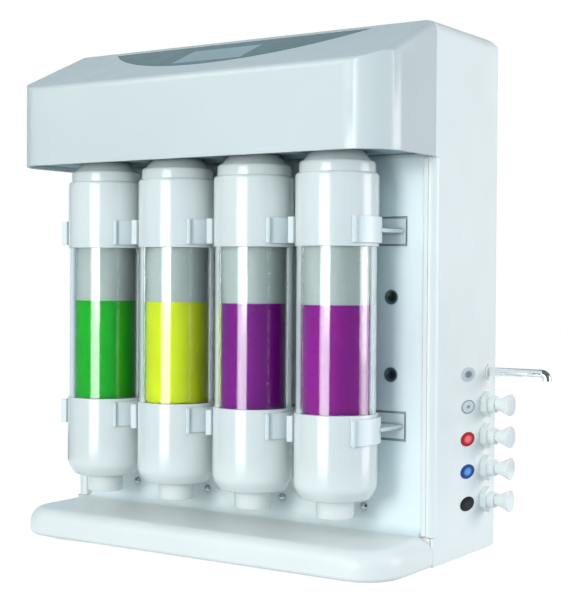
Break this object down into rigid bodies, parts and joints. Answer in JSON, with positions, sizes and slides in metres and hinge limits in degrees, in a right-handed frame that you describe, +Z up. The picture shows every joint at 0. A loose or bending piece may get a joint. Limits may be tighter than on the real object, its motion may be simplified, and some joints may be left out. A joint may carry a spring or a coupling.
{
  "type": "laboratory water purification system",
  "caption": "Benchtop water purifier with a sloped display head over a row of clear snap-in filter cartridges, a base tray, a side spout and plugged tube ports.",
  "frame": {"origin": "centre of the unit's bounding box, on the plane under its feet", "axes": "+Z up, -Y to the front where the cartridges are, +X to the side with the spout and the ports"},
  "size_m": [0.46, 0.2254, 0.464],
  "materials": {
    "casing_white": "satin moulded",
    "hatch_grey": "satin paint",
    "screw_steel": "bright",
    "foot_rubber": "matte",
    "panel_white": "satin",
    "screw_black": "black oxide",
    "fitting_white": "matte moulded",
    "lens_dark": "gloss",
    "display_glass": "gloss",
    "board_green": "solder mask",
    "clip_white": "satin moulded",
    "spout_chrome": "polished",
    "plug_white": "satin moulded",
    "marker_grey": "gloss",
    "marker_white": "gloss",
    "marker_red": "gloss",
    "marker_blue": "gloss",
    "marker_black": "gloss",
    "entry_black": "matte moulded",
    "rocker_black": "gloss",
    "vessel_white": "matte moulded",
    "pump_metal": "machined",
    "pump_black": "matte moulded",
    "supply_metal": "brushed",
    "tubing_blue": "smooth",
    "cap_white": "gloss moulded",
    "clear_tube": "clear gloss",
    "filter_media": "granular",
    "sleeve_green": "printed film",
    "sleeve_lime": "printed film",
    "sleeve_violet": "printed film",
    "sleeve_purple": "printed film"
  },
  "bodies": {
    "cabinet": {"rear_casing": "casing_white", "back_hatch": "hatch_grey", "hatch_screws": "screw_steel", "base_tray": "casing_white", "feet": "foot_rubber", "front_panel": "panel_white", "dome_screws": "screw_steel", "black_screws": "screw_black", "head_cover": "casing_white", "head_underside": "panel_white", "head_sockets": "fitting_white", "control_lens": "lens_dark", "display_window": "display_glass", "control_board": "board_green", "cartridge_clips": "clip_white", "spout_fitting": "fitting_white", "port_bodies": "fitting_white", "port_nuts": "fitting_white", "marker_grey": "marker_grey", "marker_white": "marker_white", "marker_red": "marker_red", "marker_blue": "marker_blue", "marker_black": "marker_black", "power_entry": "entry_black", "membrane_vessel": "vessel_white", "membrane_cap": "vessel_white", "membrane_clips": "clip_white", "pump_motor": "pump_metal", "pump_head": "pump_black", "power_supply": "supply_metal", "valve_block": "fitting_white", "conductivity_probe": "pump_black", "inner_tubing": "tubing_blue"},
    "cartridge_1": {"cartridge_1_upper_cap": "cap_white", "cartridge_1_tube": "clear_tube", "cartridge_1_core": "filter_media", "cartridge_1_sleeve": "sleeve_green", "cartridge_1_lower_cap": "cap_white"},
    "cartridge_2": {"cartridge_2_upper_cap": "cap_white", "cartridge_2_tube": "clear_tube", "cartridge_2_core": "filter_media", "cartridge_2_sleeve": "sleeve_lime", "cartridge_2_lower_cap": "cap_white"},
    "cartridge_3": {"cartridge_3_upper_cap": "cap_white", "cartridge_3_tube": "clear_tube", "cartridge_3_core": "filter_media", "cartridge_3_sleeve": "sleeve_violet", "cartridge_3_lower_cap": "cap_white"},
    "cartridge_4": {"cartridge_4_upper_cap": "cap_white", "cartridge_4_tube": "clear_tube", "cartridge_4_core": "filter_media", "cartridge_4_sleeve": "sleeve_purple", "cartridge_4_lower_cap": "cap_white"},
    "plug_1": {"plug_1": "plug_white"},
    "plug_2": {"plug_2": "plug_white"},
    "plug_3": {"plug_3": "plug_white"},
    "plug_4": {"plug_4": "plug_white"},
    "spout": {"spout": "spout_chrome"},
    "rocker": {"switch_rocker": "rocker_black"}
  },
  "joints": [
    {"name": "cartridge_1_draw", "type": "slide", "parent": "cabinet", "child": "cartridge_1", "axis": [0, 0, -1], "range_m": [0, 0.012]},
    {"name": "cartridge_2_draw", "type": "slide", "parent": "cabinet", "child": "cartridge_2", "axis": [0, 0, -1], "range_m": [0, 0.012]},
    {"name": "cartridge_3_draw", "type": "slide", "parent": "cabinet", "child": "cartridge_3", "axis": [0, 0, -1], "range_m": [0, 0.012]},
    {"name": "cartridge_4_draw", "type": "slide", "parent": "cabinet", "child": "cartridge_4", "axis": [0, 0, -1], "range_m": [0, 0.012]},
    {"name": "plug_1_pull", "type": "slide", "parent": "cabinet", "child": "plug_1", "axis": [1, 0, 0], "range_m": [0, 0.03]},
    {"name": "plug_2_pull", "type": "slide", "parent": "cabinet", "child": "plug_2", "axis": [1, 0, 0], "range_m": [0, 0.03]},
    {"name": "plug_3_pull", "type": "slide", "parent": "cabinet", "child": "plug_3", "axis": [1, 0, 0], "range_m": [0, 0.03]},
    {"name": "plug_4_pull", "type": "slide", "parent": "cabinet", "child": "plug_4", "axis": [1, 0, 0], "range_m": [0, 0.03]},
    {"name": "spout_swivel", "type": "hinge", "parent": "cabinet", "child": "spout", "pos_m": [0.17, 0.08928, 0.162], "axis": [1, 0, 0], "range_deg": [-90, 90]},
    {"name": "switch_rock", "type": "hinge", "parent": "cabinet", "child": "rocker", "pos_m": [0.01, 0.10728, 0.187], "axis": [1, 0, 0], "range_deg": [-16, 0]}
  ]
}
